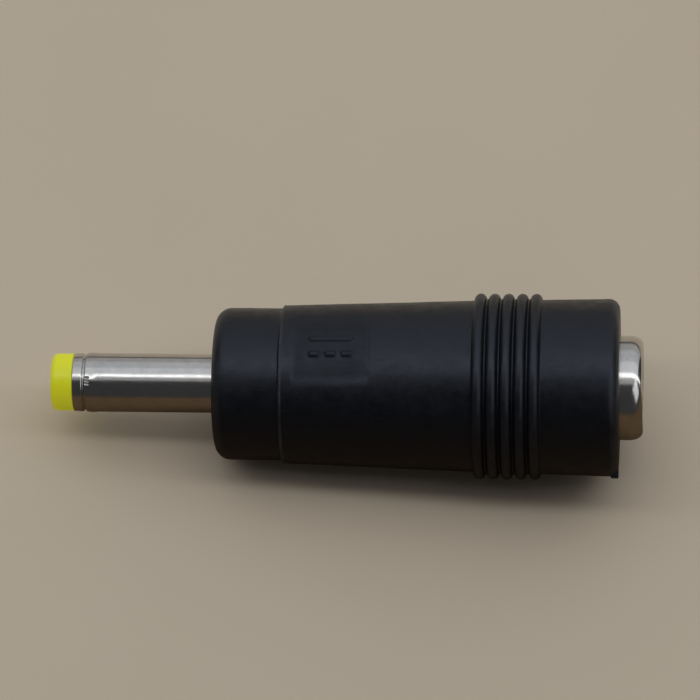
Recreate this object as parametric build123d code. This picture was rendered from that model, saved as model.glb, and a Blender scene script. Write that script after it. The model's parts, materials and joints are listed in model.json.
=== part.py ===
from build123d import *
from math import cos, pi, radians, sin, tan
import os

# In-line DC power adapter: a 4.0 x 1.7 mm barrel plug on one end of a moulded grip,
# and a 5.5 x 2.1 mm barrel jack in the other end.
# Millimetres. The adapter's axis is X. The origin is on that axis, in the plane of the
# grip's nose face, where the plug comes out. -X is towards the plug's tip, +X towards
# the jack's mouth, and +Z is the side that the moulded panel faces.

# ---- grip (over-moulded PVC) ----
GRIP_LENGTH = 27.46
NOSE_LENGTH = 4.6
NOSE_RADIUS = 5.15
STEP_RADIUS = 5.35           # just behind the seam between nose and grip
TAPER_END_RADIUS = 5.8       # where the taper meets the first rib
REAR_RADIUS = 6.0            # at the rear edge; the stretch behind the ribs flares slightly
NOSE_ROUNDING = 1.0
REAR_ROUNDING = 0.75
SEAM_HEIGHT = 0.04           # flash left by the mould's joint, around the seam
SEAM_WIDTH = 0.12

RIB_COUNT = 5
RIB_RADIUS = 0.40            # each rib is a half-round bead
RIB_PITCH = 0.945
FIRST_RIB_X = 18.0
RIB_CREST_RADIUS = 6.3

PANEL_START_X = 5.5
PANEL_SIZE = 5.2
PANEL_DEPTH = 0.10
SYMBOL_LENGTH = 2.9
SYMBOL_BAR = 0.36
SYMBOL_SPACING = 1.15        # from the whole bar to the broken one
SYMBOL_HEIGHT = 0.14         # above the panel's floor

GATE_ANGLE = -28.0           # where the trimmed gate stands, from -Y towards +Z
GATE_SIZE = (0.55, 0.50, 0.95)
GATE_STAND = 0.16            # how far the stub stands above the rear edge

# ---- plug, 4.0 x 1.7 mm ----
PLUG_LENGTH = 11.22
TIP_HEAD_LENGTH = 1.47
TIP_RIM_ROUNDING = 0.36
BARREL_RADIUS = 2.0
BARREL_BORE = 1.7
SHOULDER_START_X = 0.15
SHOULDER_END_X = 1.0
SHOULDER_RADIUS = 2.6
KNURL_END_X = 3.0
KNURL_RADIUS = 2.35
KNURL_FLUTES = 16
SLEEVE_LUG_THICKNESS = 0.3
SWAGE_END_X = 3.6
SWAGE_RADIUS = 2.0
SWAGE_NECK_RADIUS = 1.9
CRIMP_CENTRE_X = -8.97
CRIMP_HALF_WIDTH = 0.15
CRIMP_DEPTH = 0.15

CONTACT_START_X = -9.6
CONTACT_BORE = 0.85          # the 1.7 mm hole
CONTACT_RADIUS = 1.15
CONTACT_FLOOR_X = -1.4
CONTACT_BASE_X = -0.8
CONTACT_SLIT = 0.2
CONTACT_SLIT_LENGTH = 5.0
CONTACT_TAIL_RADIUS = 0.75
CONTACT_TAIL_END_X = 6.4
SOLDER_CUP_BORE = 0.45
SOLDER_CUP_START_X = 5.0

BUSH_START_X = -1.0
BUSH_END_X = 4.3
BUSH_FLANGE_RADIUS = 1.82
FIT = 0.02                   # radial clearance of a push fit

# ---- jack, 5.5 x 2.1 mm ----
COLLAR_LENGTH = 1.6          # how far the jack's shell stands out of the grip
MOUTH_X = GRIP_LENGTH + COLLAR_LENGTH
SHELL_RADIUS = 3.55
SHELL_BORE = 3.3
SHELL_START_X = 16.4
SHELL_CRIMP_BORE = 3.16
ANCHOR_RINGS_X = (19.6, 22.6)
ANCHOR_RING_WIDTH = 0.8
ANCHOR_RING_DEPTH = 0.12
LIP_START_X = MOUTH_X - 1.0
LIP_ROUND_DEPTH = 0.9        # the lip is rolled over: an elliptical quarter round, this deep
LIP_ROUND_DROP = 0.55        # and this much smaller in radius at the mouth
LIP_INNER_ROUNDING = 0.18
JACK_BORE = 2.8
JACK_FLOOR_X = 19.3
INSULATOR_START_X = 17.6
LEAD_IN_START_X = LIP_START_X - 0.7
LEAD_IN_RADIUS = 3.1
COVER_START_X = 16.6

PIN_RADIUS = 1.05            # the 2.1 mm pin
PIN_TIP_X = MOUTH_X - 1.2
PIN_FLANGE_RADIUS = 1.4
PIN_FLANGE_THICKNESS = 0.3
PIN_TAIL_RADIUS = 0.7
RIVET_HEAD_RADIUS = 1.2
RIVET_HEAD_START_X = 17.2
PIN_LUG_THICKNESS = 0.3
PIN_LUG_RADIUS = 1.7
PIN_LUG_TOP_Z = -1.55
LUG_END_X = 13.8             # both of the jack's solder tabs end here
LUG_HALF_WIDTH = 0.8

# ---- leaf contact of the jack: a blade on a hinge line, and its fixed lug ----
LEAF_THICKNESS = 0.2
LEAF_HINGE_X = 19.55
LEAF_HINGE_Z = 2.9
LEAF_HALF_WIDTH = 0.9
LEAF_END_HALF_WIDTH = 0.65
LEAF_LINE = ((LEAF_HINGE_X, LEAF_HINGE_Z), (21.0, 2.9), (24.2, 2.74), (25.3, 2.56), (26.4, 2.68))
LEAF_BEND_RADII = (3.0, 1.5, 0.8)
LEAF_GAP = 0.02              # running clearance at the hinge line
LEAF_SLOT_HALF_WIDTH = 1.05
LEAF_SLOT_END_X = 26.9

# ---- wires between plug and jack ----
CORE_RADIUS = 0.35
INSULATION_RADIUS = 0.65
POSITIVE_ROUTE = ((5.05, 0, 0), (9.7, 0, 0), (12.3, 0, -1.18), (15.5, 0, -1.18))
NEGATIVE_ROUTE = ((4.9, 0, 2.77), (7.4, 0, 2.77), (10.2, 0.7, 2.6), (13.0, 0, 2.43), (15.5, 0, 2.43))
INSULATION_START_X = 7.0
INSULATION_END_X = 13.5
SLEEVE_TAB_BOTTOM_Z = 2.1
SLEEVE_TAB_END_X = 6.4
HEATSHRINK_START_X = 4.35
HEATSHRINK_END_X = 8.3
HEATSHRINK_WALL = 0.18
SOLDER_HALF_LENGTH = 0.85
SOLDER_RADIUS = 0.72
SOLDER_OFFSET = 0.9          # from the end of a wire to the middle of its joint

# ---- inner mould (holds the joints before the grip is moulded over them) ----
MOULD_START_X = SHOULDER_END_X
MOULD_END_X = 18.2
MOULD_FRONT_RADIUS = 3.5
MOULD_RADIUS = 4.1
MOULD_GROOVE_DEPTH = 0.4
MOULD_GROOVE_WIDTH = 1.0
MOULD_GROOVES_X = (6.5, 9.5, 12.5)

FAR = 40.0                   # past the whole adapter, for cutting tools
QUARTER_ROUND = 0.5523       # handle length that makes a Bezier follow a quarter ellipse


def turned(outline):
    """A solid of revolution about X from a closed outline of (x, radius) points."""
    return revolve(make_face(Polyline(*outline, close=True)), Axis.X)


def rod(radius, start_x, end_x, y=0.0, z=0.0):
    """A cylinder along X."""
    length = end_x - start_x
    return Pos(start_x + length / 2, y, z) * Rot(0, 90, 0) * Cylinder(radius, length)


def block(x0, x1, half_width, z0, z1):
    """A box, symmetric in Y."""
    return Pos((x0 + x1) / 2, 0, (z0 + z1) / 2) * Box(x1 - x0, 2 * half_width, z1 - z0)


def grip_radius(x):
    """The grip's outside radius on its taper."""
    share = (x - NOSE_LENGTH) / (FIRST_RIB_X - RIB_RADIUS - NOSE_LENGTH)
    return STEP_RADIUS + share * (TAPER_END_RADIUS - STEP_RADIUS)


def taper_blank(offset):
    """The taper's solid cone, with its surface moved out by offset."""
    start, end = PANEL_START_X - 0.5, PANEL_START_X + PANEL_SIZE + 0.5
    return turned(((start, 0), (start, grip_radius(start) + offset),
                   (end, grip_radius(end) + offset), (end, 0)))


# ---------------------------------------------------------------- grip

def grip_outline():
    """The grip's outside: rounded nose, seam with a step, taper, five beads, plain rear."""
    first_bead = FIRST_RIB_X - RIB_RADIUS
    bead_root = RIB_CREST_RADIUS - RIB_RADIUS
    front, rear = NOSE_ROUNDING, REAR_ROUNDING
    edges = [
        Line((0, 0), (0, NOSE_RADIUS - front)),
        RadiusArc((0, NOSE_RADIUS - front), (front, NOSE_RADIUS), front),
        Polyline((front, NOSE_RADIUS), (NOSE_LENGTH, NOSE_RADIUS),
                 (NOSE_LENGTH, STEP_RADIUS + SEAM_HEIGHT),
                 (NOSE_LENGTH + SEAM_WIDTH, STEP_RADIUS + SEAM_HEIGHT),
                 (NOSE_LENGTH + 2 * SEAM_WIDTH, grip_radius(NOSE_LENGTH + 2 * SEAM_WIDTH)),
                 (first_bead, TAPER_END_RADIUS), (first_bead, bead_root)),
    ]
    for index in range(RIB_COUNT):
        centre = FIRST_RIB_X + index * RIB_PITCH
        start, end = centre - RIB_RADIUS, centre + RIB_RADIUS
        edges.append(ThreePointArc((start, bead_root), (centre, RIB_CREST_RADIUS), (end, bead_root)))
        if index < RIB_COUNT - 1:
            edges.append(Line((end, bead_root), (end + RIB_PITCH - 2 * RIB_RADIUS, bead_root)))
    last = FIRST_RIB_X + (RIB_COUNT - 1) * RIB_PITCH + RIB_RADIUS
    edges += [
        Line((last, bead_root), (GRIP_LENGTH - rear, REAR_RADIUS)),
        RadiusArc((GRIP_LENGTH - rear, REAR_RADIUS), (GRIP_LENGTH, REAR_RADIUS - rear), rear),
        Polyline((GRIP_LENGTH, REAR_RADIUS - rear), (GRIP_LENGTH, 0), (0, 0)),
    ]
    return edges


def panel_symbol():
    """The plain direct-current sign: a whole bar over a broken one, raised on the panel."""
    centre_x = PANEL_START_X + PANEL_SIZE / 2
    half = SYMBOL_SPACING / 2
    bars = Pos(centre_x, half, REAR_RADIUS) * Box(SYMBOL_LENGTH, SYMBOL_BAR, REAR_RADIUS)
    dash = SYMBOL_LENGTH / 5 + 0.12
    for side in (-1, 0, 1):
        at_x = centre_x + side * (SYMBOL_LENGTH - dash) / 2
        bars += Pos(at_x, -half, REAR_RADIUS) * Box(dash, SYMBOL_BAR, REAR_RADIUS)
    raised = bars & taper_blank(SYMBOL_HEIGHT - PANEL_DEPTH)
    return raised - taper_blank(-PANEL_DEPTH - 0.05)


def gate_vestige():
    """The trimmed stub of the moulding gate, at the corner of the rear edge."""
    length, width, height = GATE_SIZE
    centre_z = REAR_RADIUS - height / 2 + GATE_STAND
    stub = Pos(GRIP_LENGTH - length / 2, 0, centre_z) * Box(length, width, height)
    stub = fillet(stub.edges().filter_by(Axis.X).sort_by(Axis.Z)[-2:], 0.12)
    return Rot(90 - GATE_ANGLE, 0, 0) * stub


def outer_body(inner_envelope):
    solid = revolve(make_face(grip_outline()), Axis.X)
    panel = block(PANEL_START_X, PANEL_START_X + PANEL_SIZE, PANEL_SIZE / 2 - 0.1, 3.0, 9.0)
    solid -= panel - taper_blank(-PANEL_DEPTH)
    solid += panel_symbol()
    solid += gate_vestige()
    solid -= inner_envelope
    solid -= rod(BARREL_RADIUS, -1, MOULD_START_X)
    solid -= rod(SHOULDER_RADIUS, SHOULDER_START_X, SHOULDER_END_X)
    solid -= rod(SHELL_RADIUS, SHELL_START_X, FAR)
    return solid - shell_anchor_rings()


# ---------------------------------------------------------------- plug

def plug_barrel():
    """Nickel-plated sleeve: rolled-in front, crimp into the tip's groove, shoulder, knurl, swage."""
    front = TIP_HEAD_LENGTH - PLUG_LENGTH
    crimp_start, crimp_end = CRIMP_CENTRE_X - CRIMP_HALF_WIDTH, CRIMP_CENTRE_X + CRIMP_HALF_WIDTH
    crimp_radius, crimp_bore = BARREL_RADIUS - CRIMP_DEPTH, BARREL_BORE - CRIMP_DEPTH
    lug_end = KNURL_END_X + SLEEVE_LUG_THICKNESS
    sleeve = turned((
        (front, BARREL_BORE), (front, BARREL_RADIUS - 0.10), (front + 0.08, BARREL_RADIUS - 0.06),
        (crimp_start, BARREL_RADIUS - 0.03), (CRIMP_CENTRE_X, crimp_radius), (crimp_end, BARREL_RADIUS),
        (SHOULDER_START_X, BARREL_RADIUS), (SHOULDER_START_X, SHOULDER_RADIUS),
        (SHOULDER_END_X, SHOULDER_RADIUS), (SHOULDER_END_X, KNURL_RADIUS), (KNURL_END_X, KNURL_RADIUS),
        (KNURL_END_X, SWAGE_NECK_RADIUS), (lug_end, SWAGE_NECK_RADIUS), (lug_end, SWAGE_RADIUS),
        (SWAGE_END_X, SWAGE_RADIUS), (SWAGE_END_X, BARREL_BORE), (crimp_end, BARREL_BORE),
        (CRIMP_CENTRE_X, crimp_bore), (crimp_start, BARREL_BORE)))
    for index in range(KNURL_FLUTES):
        flute = rod(0.1, SHOULDER_END_X + 0.2, KNURL_END_X - 0.2, z=KNURL_RADIUS)
        sleeve -= Rot(index * 360 / KNURL_FLUTES, 0, 0) * flute
    return sleeve


def plug_tip_insulator():
    """Yellow insulator: a head in front of the sleeve, and a long neck around the centre contact."""
    front, head_end = -PLUG_LENGTH, TIP_HEAD_LENGTH - PLUG_LENGTH
    neck = BARREL_BORE - FIT
    entry, housing = 1.1, CONTACT_RADIUS + 0.05
    groove = neck - CRIMP_DEPTH - FIT
    half = CRIMP_HALF_WIDTH + 0.03
    seat = CONTACT_START_X - 0.05
    outline = make_face(Polyline(
        (front, 1.42), (front, BARREL_RADIUS - 0.11), (head_end, BARREL_RADIUS - 0.06), (head_end, neck),
        (CRIMP_CENTRE_X - half, neck), (CRIMP_CENTRE_X, groove), (CRIMP_CENTRE_X + half, neck),
        (BUSH_START_X - 0.05, neck), (BUSH_START_X - 0.05, housing), (seat, housing), (seat, entry),
        (front + 0.32, entry), close=True))
    rim = outline.vertices().sort_by(lambda v: v.X * 10 - v.Y)[0]
    return revolve(fillet(rim, TIP_RIM_ROUNDING), Axis.X)


def plug_centre_contact():
    """Sprung tube for the 1.7 mm pin, slit in four, with a solid base and a solder cup."""
    mouth = CONTACT_START_X
    contact = turned((
        (mouth, CONTACT_BORE + 0.12), (mouth, CONTACT_RADIUS - 0.05), (mouth + 0.05, CONTACT_RADIUS),
        (CONTACT_BASE_X, CONTACT_RADIUS), (CONTACT_BASE_X, CONTACT_TAIL_RADIUS),
        (CONTACT_TAIL_END_X, CONTACT_TAIL_RADIUS), (CONTACT_TAIL_END_X, SOLDER_CUP_BORE),
        (SOLDER_CUP_START_X, SOLDER_CUP_BORE), (SOLDER_CUP_START_X, 0), (CONTACT_FLOOR_X + 0.3, 0),
        (CONTACT_FLOOR_X, CONTACT_BORE), (mouth + 0.12, CONTACT_BORE)))
    slit = Pos(mouth + CONTACT_SLIT_LENGTH / 2, 0, 0) * Box(CONTACT_SLIT_LENGTH, 3, CONTACT_SLIT)
    contact -= Rot(45, 0, 0) * slit
    return contact - Rot(135, 0, 0) * slit


def plug_rear_bush():
    """Insulating bush that holds the contact's base and tail in the back of the sleeve."""
    bore = CONTACT_TAIL_RADIUS + FIT
    seat = CONTACT_RADIUS + FIT
    return turned((
        (BUSH_START_X, seat), (BUSH_START_X, BARREL_BORE - FIT), (SWAGE_END_X, BARREL_BORE - FIT),
        (SWAGE_END_X, BUSH_FLANGE_RADIUS), (BUSH_END_X, BUSH_FLANGE_RADIUS), (BUSH_END_X, bore),
        (CONTACT_BASE_X, bore), (CONTACT_BASE_X, seat)))


def plug_sleeve_lug():
    """Ring held under the sleeve's swaged end, with a solder tab bent back over the bush."""
    ring_end = KNURL_END_X + SLEEVE_LUG_THICKNESS
    top = SLEEVE_TAB_BOTTOM_Z + SLEEVE_LUG_THICKNESS
    lug = rod(top, KNURL_END_X, ring_end) - rod(SWAGE_NECK_RADIUS, 0, FAR)
    lug += block(KNURL_END_X, SLEEVE_TAB_END_X, LUG_HALF_WIDTH, SLEEVE_TAB_BOTTOM_Z, top)
    lug = fillet(lug.edges().filter_by(Axis.Z).sort_by(Axis.X)[-2:], 0.4)
    return lug - Pos(SLEEVE_TAB_END_X - 0.8, 0, top) * Cylinder(0.3, 2)


# ---------------------------------------------------------------- jack

def shell_anchor_rings():
    """Two shallow rings around the shell, where the grip's plastic locks into it."""
    first, second = (rod(SHELL_RADIUS, start, start + ANCHOR_RING_WIDTH) for start in ANCHOR_RINGS_X)
    return first + second - rod(SHELL_RADIUS - ANCHOR_RING_DEPTH, 0, FAR)


def jack_shell():
    """Nickel-plated shell: crimped over its cover at the back, with a rolled lip around the mouth."""
    round_start, mouth_radius = MOUTH_X - LIP_ROUND_DEPTH, SHELL_RADIUS - LIP_ROUND_DROP
    lip = Bezier((round_start, SHELL_RADIUS), (round_start + QUARTER_ROUND * LIP_ROUND_DEPTH, SHELL_RADIUS),
                 (MOUTH_X, mouth_radius + QUARTER_ROUND * LIP_ROUND_DROP), (MOUTH_X, mouth_radius))
    walls = Polyline(
        (round_start, SHELL_RADIUS), (SHELL_START_X, SHELL_RADIUS), (SHELL_START_X, SHELL_CRIMP_BORE),
        (COVER_START_X, SHELL_CRIMP_BORE), (COVER_START_X, SHELL_BORE), (LIP_START_X, SHELL_BORE),
        (LIP_START_X, JACK_BORE), (MOUTH_X, JACK_BORE), (MOUTH_X, mouth_radius))
    outline = make_face([lip, walls])
    inner = outline.vertices().group_by(Axis.X)[-1].sort_by(Axis.Y)[0]
    return revolve(fillet(inner, LIP_INNER_ROUNDING), Axis.X) - shell_anchor_rings()


def jack_insulator(pin, pin_lug, spring_lug):
    """Moulded core: a bore for the 5.5 mm plug, a floor for the pin, and a slot for the leaf."""
    core = turned((
        (INSULATOR_START_X, 0), (INSULATOR_START_X, SHELL_BORE), (LIP_START_X, SHELL_BORE),
        (LIP_START_X, LEAD_IN_RADIUS), (LEAD_IN_START_X, JACK_BORE), (JACK_FLOOR_X, JACK_BORE),
        (JACK_FLOOR_X, 0)))
    core -= block(JACK_FLOOR_X, LEAF_SLOT_END_X, LEAF_SLOT_HALF_WIDTH, 2.0, 4.0)
    return core - pin - pin_lug - spring_lug


def jack_centre_pin():
    """The 2.1 mm pin: bullet nose, flange on the floor, tail riveted over the pin lug."""
    nose = 0.8
    flange_end = JACK_FLOOR_X + PIN_FLANGE_THICKNESS
    flat = 0.35
    edges = [
        Polyline((RIVET_HEAD_START_X, 0), (RIVET_HEAD_START_X, RIVET_HEAD_RADIUS - 0.15),
                 (RIVET_HEAD_START_X + 0.15, RIVET_HEAD_RADIUS), (INSULATOR_START_X, RIVET_HEAD_RADIUS),
                 (INSULATOR_START_X, PIN_TAIL_RADIUS), (JACK_FLOOR_X, PIN_TAIL_RADIUS),
                 (JACK_FLOOR_X, PIN_FLANGE_RADIUS), (flange_end, PIN_FLANGE_RADIUS),
                 (flange_end, PIN_RADIUS), (PIN_TIP_X - nose, PIN_RADIUS)),
        ThreePointArc((PIN_TIP_X - nose, PIN_RADIUS),
                      (PIN_TIP_X - nose * (1 - sin(pi / 4)), flat + (PIN_RADIUS - flat) * cos(pi / 4)),
                      (PIN_TIP_X, flat)),
        Polyline((PIN_TIP_X, flat), (PIN_TIP_X, 0), (RIVET_HEAD_START_X, 0)),
    ]
    return revolve(make_face(edges), Axis.X)


def jack_pin_lug():
    """Riveted disc behind the floor, with a solder tab bent back along the axis."""
    disc_end = INSULATOR_START_X + PIN_LUG_THICKNESS
    lug = rod(PIN_LUG_RADIUS, INSULATOR_START_X, disc_end)
    lug += block(LUG_END_X, disc_end, LUG_HALF_WIDTH, PIN_LUG_TOP_Z - PIN_LUG_THICKNESS, PIN_LUG_TOP_Z)
    lug -= rod(PIN_TAIL_RADIUS, 0, FAR)
    return lug - Pos(LUG_END_X + 0.8, 0, PIN_LUG_TOP_Z) * Cylinder(0.3, 2)


def leaf_strip(points, bend_radii, half_width):
    """A bent strip of leaf stock with round ends, from a centreline in the XZ plane."""
    line = Plane.XZ * (FilletPolyline(*points, radius=bend_radii) if bend_radii else Polyline(*points))
    outline = offset(line, LEAF_THICKNESS / 2, side=Side.BOTH, closed=True)
    return extrude(make_face(outline), half_width, both=True)


def jack_contact_spring():
    """The leaf contact's blade. It narrows towards its free end and bears on a plug at its bump."""
    blade = leaf_strip(LEAF_LINE, LEAF_BEND_RADII, LEAF_HALF_WIDTH)
    bend_x, end_x = LEAF_LINE[1][0], LEAF_LINE[-1][0] + LEAF_THICKNESS
    start_x = LEAF_HINGE_X - LEAF_THICKNESS
    plan = Polyline((start_x, -LEAF_HALF_WIDTH), (bend_x, -LEAF_HALF_WIDTH), (end_x, -LEAF_END_HALF_WIDTH),
                    (end_x, LEAF_END_HALF_WIDTH), (bend_x, LEAF_HALF_WIDTH), (start_x, LEAF_HALF_WIDTH),
                    close=True)
    return blade & extrude(make_face(plan), 5)


def jack_spring_lug():
    """The leaf's fixed end: it runs through the floor and the cover and ends in a solder tab."""
    half = LEAF_THICKNESS / 2
    lug = block(LUG_END_X, LEAF_HINGE_X, LUG_HALF_WIDTH, LEAF_HINGE_Z - half, LEAF_HINGE_Z + half)
    socket = Pos(LEAF_HINGE_X, 0, LEAF_HINGE_Z) * Rot(90, 0, 0) * Cylinder(half + LEAF_GAP, 4)
    return lug - socket - Pos(LUG_END_X + 0.8, 0, LEAF_HINGE_Z) * Cylinder(0.3, 2)


def jack_rear_cover(pin_lug, spring_lug):
    """Disc that closes the back of the jack, with a blind pocket for the rivet and two tab slots."""
    cover = rod(SHELL_BORE, COVER_START_X, INSULATOR_START_X)
    cover -= rod(RIVET_HEAD_RADIUS + 0.05, RIVET_HEAD_START_X - 0.1, INSULATOR_START_X)
    return cover - pin_lug - spring_lug


# ---------------------------------------------------------------- wiring

def bend_radii(route):
    """The largest arc that each corner's two runs allow."""
    radii = []
    for before, corner, after in zip(route, route[1:], route[2:]):
        arriving, leaving = Vector(*corner) - Vector(*before), Vector(*after) - Vector(*corner)
        half_turn = radians(arriving.get_angle(leaving)) / 2
        radii.append(0.45 * min(arriving.length, leaving.length) / tan(half_turn))
    return radii


def wire(name, route):
    """A wire's bare core, and the insulation around its middle stretch."""
    radii = bend_radii(route)
    path = FilletPolyline(*route, radius=radii)
    start = Plane(origin=path @ 0, z_dir=path % 0)
    core = sweep(start * Circle(CORE_RADIUS), path=path)
    jacket = sweep(start * Circle(INSULATION_RADIUS), path=path) - core
    jacket &= block(INSULATION_START_X, INSULATION_END_X, 3, -4, 4)
    share = core.volume / (pi * CORE_RADIUS ** 2 * path.length)
    print(name, "bend radii", [round(r, 1) for r in radii], "core volume share", round(share, 4))
    return core, jacket


def solder_on_tab(centre, core, keep):
    """Solder around a wire's end on a flat tab. keep is the half-space on the wire's side of the tab."""
    ends = 0.3
    spindle = revolve(make_face([
        ThreePointArc((-SOLDER_HALF_LENGTH, ends), (0, SOLDER_RADIUS), (SOLDER_HALF_LENGTH, ends)),
        Polyline((SOLDER_HALF_LENGTH, ends), (SOLDER_HALF_LENGTH, 0), (-SOLDER_HALF_LENGTH, 0),
                 (-SOLDER_HALF_LENGTH, ends))]), Axis.X)
    return (Pos(*centre) * spindle & keep) - core


def solder_in_cup():
    """Solder between the cup's wall and the wire's core, with a sloped skirt in front of the cup."""
    return turned((
        (SOLDER_CUP_START_X, 0), (SOLDER_CUP_START_X, SOLDER_CUP_BORE), (CONTACT_TAIL_END_X, SOLDER_CUP_BORE),
        (CONTACT_TAIL_END_X, CONTACT_TAIL_RADIUS - 0.1), (CONTACT_TAIL_END_X + 0.35, CORE_RADIUS),
        (POSITIVE_ROUTE[0][0], CORE_RADIUS), (POSITIVE_ROUTE[0][0], 0)))


def heatshrink_outline(wall):
    """The sleeve's profile, grown by wall: wide over the solder cup, narrow over the insulation."""
    wide, narrow = CONTACT_TAIL_RADIUS + FIT + wall, INSULATION_RADIUS + FIT + wall
    cup_end = CONTACT_TAIL_END_X + 0.1
    return turned(((HEATSHRINK_START_X, 0), (HEATSHRINK_START_X, wide), (cup_end, wide),
                   (cup_end + 0.6, narrow), (HEATSHRINK_END_X, narrow), (HEATSHRINK_END_X, 0)))


# ---------------------------------------------------------------- inner mould

def mould_envelope():
    """The inner mould's outside, with grooves that the grip's plastic flows into."""
    envelope = turned(((MOULD_START_X, 0), (MOULD_START_X, MOULD_FRONT_RADIUS), (5.0, MOULD_RADIUS),
                       (MOULD_END_X - 0.4, MOULD_RADIUS), (MOULD_END_X, MOULD_RADIUS - 0.4),
                       (MOULD_END_X, 0)))
    for start in MOULD_GROOVES_X:
        end = start + MOULD_GROOVE_WIDTH
        envelope -= rod(MOULD_RADIUS + 1, start, end) - rod(MOULD_RADIUS - MOULD_GROOVE_DEPTH, 0, FAR)
    return envelope


def inner_mould(envelope, held):
    """The envelope less everything it holds: the plug's back, the jack's back, wires and joints."""
    mould = envelope - rod(KNURL_RADIUS, 0, KNURL_END_X) - rod(SWAGE_RADIUS, KNURL_END_X, SWAGE_END_X)
    mould -= rod(BUSH_FLANGE_RADIUS, SWAGE_END_X, BUSH_END_X)
    mould -= rod(CONTACT_TAIL_RADIUS, BUSH_END_X, HEATSHRINK_START_X)
    mould -= rod(SHELL_RADIUS, COVER_START_X, FAR)
    for piece in held:
        mould -= piece
    return mould


def above(z):
    return block(0, FAR, 5, z, z + 5)


def below(z):
    return block(0, FAR, 5, z - 5, z)


def build():
    pin, pin_lug, spring_lug, shell = jack_centre_pin(), jack_pin_lug(), jack_spring_lug(), jack_shell()
    sleeve_lug = plug_sleeve_lug()
    plus_core, plus_jacket = wire("positive wire", POSITIVE_ROUTE)
    minus_core, minus_jacket = wire("negative wire", NEGATIVE_ROUTE)
    heatshrink_filled = heatshrink_outline(HEATSHRINK_WALL)
    tab_top = SLEEVE_TAB_BOTTOM_Z + SLEEVE_LUG_THICKNESS
    leaf_bottom = LEAF_HINGE_Z - LEAF_THICKNESS / 2
    minus_start, minus_end, plus_end = NEGATIVE_ROUTE[0], NEGATIVE_ROUTE[-1], POSITIVE_ROUTE[-1]
    at_sleeve = (minus_start[0] + SOLDER_OFFSET, 0, minus_start[2])
    at_spring = (minus_end[0] - SOLDER_OFFSET, 0, minus_end[2])
    at_pin = (plus_end[0] - SOLDER_OFFSET, 0, plus_end[2])
    solder_sleeve = solder_on_tab(at_sleeve, minus_core, above(tab_top))
    solder_spring = solder_on_tab(at_spring, minus_core, below(leaf_bottom))
    solder_pin = solder_on_tab(at_pin, plus_core, above(PIN_LUG_TOP_Z))
    envelope = mould_envelope()
    held = (shell, pin_lug, spring_lug, sleeve_lug, plus_core, plus_jacket, minus_core, minus_jacket,
            heatshrink_filled, solder_sleeve, solder_spring, solder_pin)
    return {
        "outer_body": outer_body(envelope),
        "inner_mould": inner_mould(envelope, held),
        "plug_barrel": plug_barrel(),
        "plug_tip_insulator": plug_tip_insulator(),
        "plug_centre_contact": plug_centre_contact(),
        "plug_rear_bush": plug_rear_bush(),
        "plug_sleeve_lug": sleeve_lug,
        "jack_shell": shell,
        "jack_insulator": jack_insulator(pin, pin_lug, spring_lug),
        "jack_centre_pin": pin,
        "jack_pin_lug": pin_lug,
        "jack_contact_spring": jack_contact_spring(),
        "jack_spring_lug": spring_lug,
        "jack_rear_cover": jack_rear_cover(pin_lug, spring_lug),
        "positive_wire_core": plus_core,
        "positive_wire_insulation": plus_jacket,
        "positive_heatshrink": heatshrink_filled - heatshrink_outline(0),
        "negative_wire_core": minus_core,
        "negative_wire_insulation": minus_jacket,
        "solder_plug_contact": solder_in_cup(),
        "solder_plug_sleeve": solder_sleeve,
        "solder_jack_pin": solder_pin,
        "solder_jack_spring": solder_spring,
    }


os.makedirs("parts", exist_ok=True)
for node, shape in build().items():
    export_step(shape, f"parts/{node}.step")
    print(node, "solids", len(shape.solids()), "volume", round(shape.volume, 3))
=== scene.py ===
import json
from math import cos, exp, hypot, pi, radians, sin, sqrt, tau

import bpy
from mathutils import Matrix, Vector, noise


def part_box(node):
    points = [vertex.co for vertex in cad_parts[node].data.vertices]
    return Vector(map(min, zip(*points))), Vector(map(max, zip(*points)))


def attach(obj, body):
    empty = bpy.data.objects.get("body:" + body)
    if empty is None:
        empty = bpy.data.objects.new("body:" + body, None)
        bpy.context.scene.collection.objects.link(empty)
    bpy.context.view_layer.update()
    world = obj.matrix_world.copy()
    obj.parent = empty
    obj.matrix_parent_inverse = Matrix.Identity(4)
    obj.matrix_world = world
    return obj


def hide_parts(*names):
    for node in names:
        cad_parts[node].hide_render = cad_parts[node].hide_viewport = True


# Looks of the in-line DC power adapter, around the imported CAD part.
# The frame is in metres. Profiles here are written in millimetres, (x, radius), and scaled once.

MM = 0.001
BODY = "adapter"

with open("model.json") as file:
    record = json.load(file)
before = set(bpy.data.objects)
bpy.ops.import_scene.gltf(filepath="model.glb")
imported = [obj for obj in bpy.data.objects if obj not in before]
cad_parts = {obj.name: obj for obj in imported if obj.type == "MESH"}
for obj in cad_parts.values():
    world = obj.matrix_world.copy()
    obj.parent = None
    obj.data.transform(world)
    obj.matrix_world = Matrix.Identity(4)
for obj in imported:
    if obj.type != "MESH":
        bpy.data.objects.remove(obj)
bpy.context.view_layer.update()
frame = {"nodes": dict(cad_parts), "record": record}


def reach(node):
    """Where a CAD node starts and ends along the adapter's axis, in millimetres."""
    low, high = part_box(node)
    return low.x / MM, high.x / MM


def radius_of(node):
    """A round CAD node's largest radius, in millimetres."""
    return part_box(node)[1].y / MM


# ---- driving sizes: ends and radii come from the frame, the rest repeats the part's own values ----
GRIP_START, GRIP_END = reach("outer_body")
TIP_START, TIP_NECK_END = reach("plug_tip_insulator")
SLEEVE_START, SLEEVE_END = reach("plug_barrel")
SHELL_START, MOUTH = reach("jack_shell")
SHELL_RADIUS = radius_of("jack_shell")
COVER_START = reach("jack_rear_cover")[0]
SHOULDER_RADIUS = radius_of("plug_barrel")

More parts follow.
